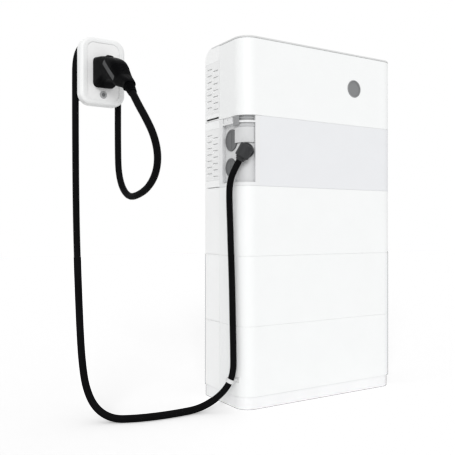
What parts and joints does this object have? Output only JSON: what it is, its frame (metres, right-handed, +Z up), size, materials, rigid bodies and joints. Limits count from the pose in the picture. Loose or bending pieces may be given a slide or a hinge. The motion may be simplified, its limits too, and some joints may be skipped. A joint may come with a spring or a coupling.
{
  "type": "dc ev charger module",
  "caption": "Stacked home battery tower with inverter, DC car charger module with a side cable outlet, and a wall dock that holds the charging gun on its cable.",
  "frame": {"origin": "on the floor, under the middle of the tower's footprint", "axes": "+Z up, +Y towards the wall behind, the front faces -Y, the wall dock is at -X"},
  "size_m": [1.3222, 0.4229, 1.38],
  "materials": {
    "white_cover": "satin white powder coat",
    "charger_cover": "satin cool white powder coat",
    "casing": "matt light grey powder coat",
    "grille": "matt light grey powder coat",
    "plinth": "matt light grey powder coat",
    "bay_panel": "fine matt grey",
    "cap_grey": "matt dark grey",
    "pale_plastic": "matt pale grey",
    "outlet": "matt dark grey",
    "cable": "black jacket",
    "gun_black": "matt black",
    "gun_inlay": "matt grey",
    "contact": "plated",
    "button": "satin grey",
    "inner_plastic": "matt black",
    "pack": "matt grey",
    "aluminium": "extruded",
    "steel": "zinc plated",
    "board": "green solder mask"
  },
  "bodies": {
    "tower_and_dock": {"battery_cover_1": "white_cover", "battery_cover_2": "white_cover", "battery_cover_3": "white_cover", "battery_floor_1": "casing", "battery_floor_2": "casing", "battery_floor_3": "casing", "battery_housing_1": "casing", "battery_housing_2": "casing", "battery_housing_3": "casing", "battery_pack_1": "pack", "battery_pack_2": "pack", "battery_pack_3": "pack", "blanking_caps": "cap_grey", "button_bezel": "button", "cable_clip": "pale_plastic", "charge_cable": "cable", "charger_cover": "charger_cover", "charger_fan_frame": "inner_plastic", "charger_floor": "casing", "charger_grille_left": "grille", "charger_grille_right": "grille", "charger_heat_sink": "aluminium", "charger_housing": "casing", "charger_power_board": "board", "connection_panel": "bay_panel", "dock_back_plate": "inner_plastic", "dock_button_bush": "inner_plastic", "dock_face": "pale_plastic", "dock_hub": "inner_plastic", "dock_shell": "white_cover", "dock_socket": "gun_black", "gun_contacts": "contact", "gun_nose": "gun_black", "gun_shell": "gun_black", "gun_side_inlays": "gun_inlay", "gun_strain_relief": "gun_black", "inverter_cover": "white_cover", "inverter_fan_frame": "inner_plastic", "inverter_floor": "casing", "inverter_grille_left": "grille", "inverter_grille_right": "grille", "inverter_heat_sink": "aluminium", "inverter_housing": "casing", "inverter_lid": "white_cover", "inverter_power_board": "board", "joining_bracket": "pale_plastic", "outlet_elbow": "outlet", "plinth": "plinth", "stack_connectors": "inner_plastic", "wall_brackets": "steel"},
    "start_button": {"start_button": "button"},
    "dock_button": {"dock_button": "button"},
    "gun_thumb_button": {"gun_thumb_button": "gun_inlay"},
    "charger_fan_rotor": {"charger_fan_rotor": "inner_plastic"},
    "inverter_fan_rotor": {"inverter_fan_rotor": "inner_plastic"}
  },
  "joints": [
    {"name": "start_button_press", "type": "slide", "parent": "tower_and_dock", "child": "start_button", "axis": [0, 1, 0], "range_m": [0, 0.002], "stiffness_N_per_m": 800},
    {"name": "dock_button_press", "type": "slide", "parent": "tower_and_dock", "child": "dock_button", "axis": [0, 1, 0], "range_m": [0, 0.002], "stiffness_N_per_m": 800},
    {"name": "gun_thumb_button_press", "type": "slide", "parent": "tower_and_dock", "child": "gun_thumb_button", "axis": [0, 0, -1], "range_m": [0, 0.003], "stiffness_N_per_m": 800},
    {"name": "charger_fan_turn", "type": "hinge", "parent": "tower_and_dock", "child": "charger_fan_rotor", "pos_m": [0.216, 0.065, 0.889], "axis": [1, 0, 0], "continuous": true},
    {"name": "inverter_fan_turn", "type": "hinge", "parent": "tower_and_dock", "child": "inverter_fan_rotor", "pos_m": [0.216, 0.065, 1.15], "axis": [1, 0, 0], "continuous": true}
  ]
}
